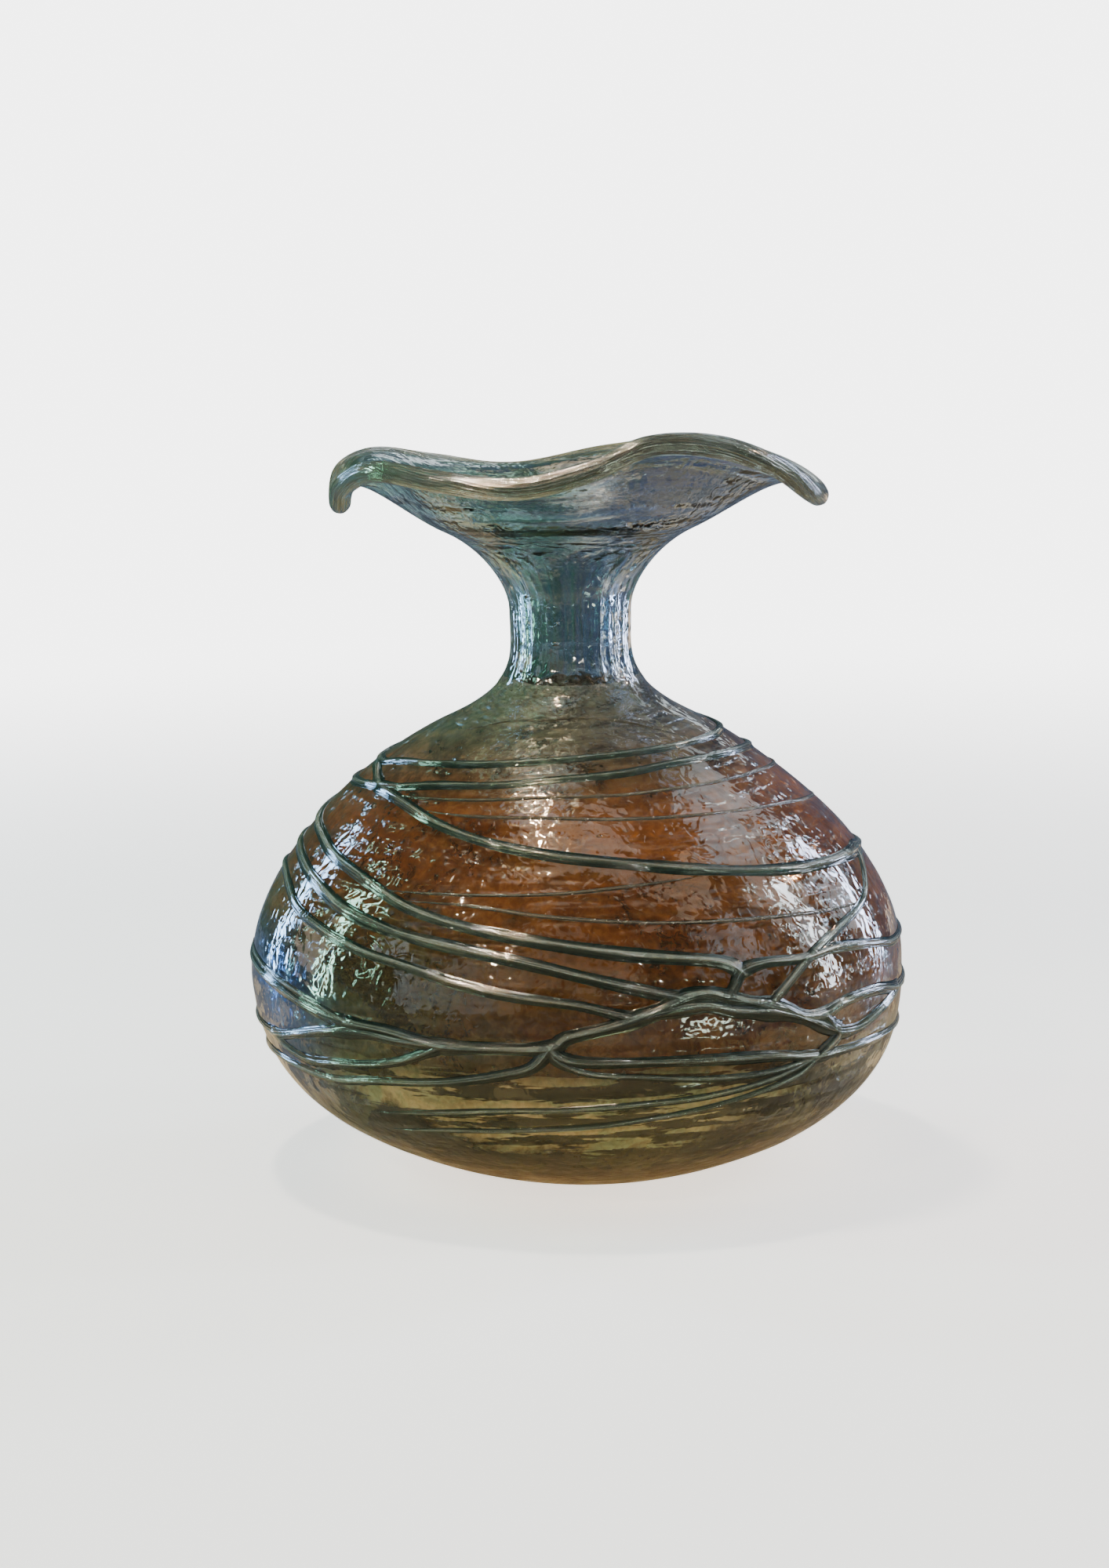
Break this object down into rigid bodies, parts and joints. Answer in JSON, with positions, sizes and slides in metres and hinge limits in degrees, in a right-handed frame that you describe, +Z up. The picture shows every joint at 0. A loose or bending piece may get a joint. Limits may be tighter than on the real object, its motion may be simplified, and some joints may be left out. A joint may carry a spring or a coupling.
{
  "type": "vase",
  "caption": "Round-bodied blown glass vase with a colour-lined body, a narrow neck, a wide waved rim with a thick rounded lip, and glass trails drawn round the body.",
  "frame": {"origin": "centre of the foot, on the surface the vase stands on", "axes": "+Z up along the vase's axis, -Y to the front, +X to the right seen from the front"},
  "size_m": [0.2443, 0.2446, 0.2725],
  "materials": {
    "clear_glass": "fire polished, clear with a grey-green cast",
    "lining_glass": "translucent brown to olive lining",
    "lip_glass": "fire polished, faintly streaked",
    "trail_glass": "dark teal glass, streaked",
    "thread_glass": "pale drawn thread"
  },
  "bodies": {
    "vase": {"bulb": "clear_glass", "colour_lining": "lining_glass", "neck": "clear_glass", "flared_rim": "clear_glass", "lip_wrap": "lip_glass", "collar_trail": "trail_glass", "collar_link": "trail_glass", "under_collar_trail": "trail_glass", "brow_trail": "trail_glass", "left_sweep_high": "trail_glass", "left_sweep_middle": "trail_glass", "left_sweep_low": "trail_glass", "left_prong_outer": "trail_glass", "left_prong_inner": "trail_glass", "waist_trail": "trail_glass", "eye_trail": "trail_glass", "loop_trail": "trail_glass", "riser_trail": "trail_glass", "right_prong": "trail_glass", "back_sweep_trail": "trail_glass", "back_low_trail": "trail_glass", "lower_left_trail": "trail_glass", "lower_left_branch": "trail_glass", "lower_ring_trail": "trail_glass", "lower_right_trail": "trail_glass", "lower_right_branch": "trail_glass", "base_fan_high": "trail_glass", "base_fan_low": "trail_glass", "shoulder_thread": "thread_glass", "brow_thread_high": "thread_glass", "brow_thread_low": "thread_glass", "front_thread_high": "thread_glass", "front_thread_low": "thread_glass"}
  },
  "joints": []
}
